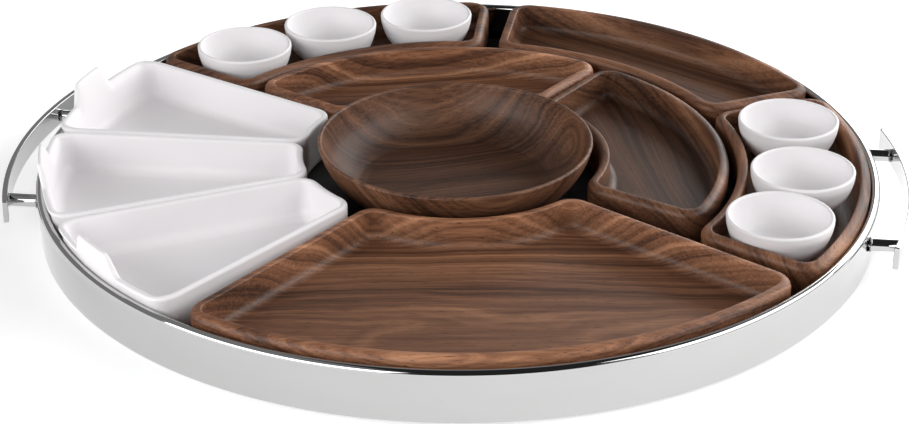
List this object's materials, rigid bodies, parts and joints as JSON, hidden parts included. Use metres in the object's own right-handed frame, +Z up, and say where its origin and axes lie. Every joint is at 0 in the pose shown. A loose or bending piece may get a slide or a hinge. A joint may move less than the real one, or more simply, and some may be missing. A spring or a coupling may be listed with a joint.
{
  "type": "chip and dip server",
  "caption": "Round polished steel serving pan with bow handles, holding a turned wooden bowl, carved wooden trays, porcelain wedge dishes and small dip bowls that all lift out.",
  "frame": {"origin": "middle of the pan, on the surface that its foot pads stand on", "axes": "+X through the right handle, +Y away from the big front tray, +Z up"},
  "size_m": [0.658, 0.61, 0.065],
  "materials": {
    "polished_steel": "polished",
    "walnut": "satin oiled",
    "porcelain": "soft matt glaze",
    "black_board": "matt",
    "rubber": "matt"
  },
  "bodies": {
    "pan": {"tray_pan": "polished_steel", "base_board": "black_board", "foot_pad_front": "rubber", "foot_pad_back": "rubber", "foot_pad_left": "rubber", "foot_pad_right": "rubber", "right_grip": "polished_steel", "left_grip": "polished_steel", "left_front_post": "polished_steel", "left_back_post": "polished_steel", "right_front_post": "polished_steel", "right_back_post": "polished_steel", "left_front_screw": "polished_steel", "left_back_screw": "polished_steel", "right_front_screw": "polished_steel", "right_back_screw": "polished_steel"},
    "front_tray": {"front_tray": "walnut"},
    "back_inner_tray": {"back_inner_tray": "walnut"},
    "right_inner_tray": {"right_inner_tray": "walnut"},
    "back_left_outer_tray": {"back_left_outer_tray": "walnut"},
    "back_right_outer_tray": {"back_right_outer_tray": "walnut"},
    "right_outer_tray": {"right_outer_tray": "walnut"},
    "wedge_dish_back": {"wedge_dish_back": "porcelain"},
    "wedge_dish_middle": {"wedge_dish_middle": "porcelain"},
    "wedge_dish_front": {"wedge_dish_front": "porcelain"},
    "centre_bowl": {"centre_bowl": "walnut"},
    "back_dip_bowl_1": {"back_dip_bowl_1": "porcelain"},
    "back_dip_bowl_2": {"back_dip_bowl_2": "porcelain"},
    "back_dip_bowl_3": {"back_dip_bowl_3": "porcelain"},
    "right_dip_bowl_1": {"right_dip_bowl_1": "porcelain"},
    "right_dip_bowl_2": {"right_dip_bowl_2": "porcelain"},
    "right_dip_bowl_3": {"right_dip_bowl_3": "porcelain"}
  },
  "joints": [
    {"name": "front_tray_lift", "type": "slide", "parent": "pan", "child": "front_tray", "axis": [0, 0, 1], "range_m": [0, 0.08]},
    {"name": "back_inner_tray_lift", "type": "slide", "parent": "pan", "child": "back_inner_tray", "axis": [0, 0, 1], "range_m": [0, 0.08]},
    {"name": "right_inner_tray_lift", "type": "slide", "parent": "pan", "child": "right_inner_tray", "axis": [0, 0, 1], "range_m": [0, 0.08]},
    {"name": "back_left_outer_tray_lift", "type": "slide", "parent": "pan", "child": "back_left_outer_tray", "axis": [0, 0, 1], "range_m": [0, 0.08]},
    {"name": "back_right_outer_tray_lift", "type": "slide", "parent": "pan", "child": "back_right_outer_tray", "axis": [0, 0, 1], "range_m": [0, 0.08]},
    {"name": "right_outer_tray_lift", "type": "slide", "parent": "pan", "child": "right_outer_tray", "axis": [0, 0, 1], "range_m": [0, 0.08]},
    {"name": "wedge_dish_back_lift", "type": "slide", "parent": "pan", "child": "wedge_dish_back", "axis": [0, 0, 1], "range_m": [0, 0.08]},
    {"name": "wedge_dish_middle_lift", "type": "slide", "parent": "pan", "child": "wedge_dish_middle", "axis": [0, 0, 1], "range_m": [0, 0.08]},
    {"name": "wedge_dish_front_lift", "type": "slide", "parent": "pan", "child": "wedge_dish_front", "axis": [0, 0, 1], "range_m": [0, 0.08]},
    {"name": "centre_bowl_lift", "type": "slide", "parent": "pan", "child": "centre_bowl", "axis": [0, 0, 1], "range_m": [0, 0.09]},
    {"name": "back_dip_bowl_1_lift", "type": "slide", "parent": "back_left_outer_tray", "child": "back_dip_bowl_1", "axis": [0, 0, 1], "range_m": [0, 0.08]},
    {"name": "back_dip_bowl_2_lift", "type": "slide", "parent": "back_left_outer_tray", "child": "back_dip_bowl_2", "axis": [0, 0, 1], "range_m": [0, 0.08]},
    {"name": "back_dip_bowl_3_lift", "type": "slide", "parent": "back_left_outer_tray", "child": "back_dip_bowl_3", "axis": [0, 0, 1], "range_m": [0, 0.08]},
    {"name": "right_dip_bowl_1_lift", "type": "slide", "parent": "right_outer_tray", "child": "right_dip_bowl_1", "axis": [0, 0, 1], "range_m": [0, 0.08]},
    {"name": "right_dip_bowl_2_lift", "type": "slide", "parent": "right_outer_tray", "child": "right_dip_bowl_2", "axis": [0, 0, 1], "range_m": [0, 0.08]},
    {"name": "right_dip_bowl_3_lift", "type": "slide", "parent": "right_outer_tray", "child": "right_dip_bowl_3", "axis": [0, 0, 1], "range_m": [0, 0.08]}
  ]
}
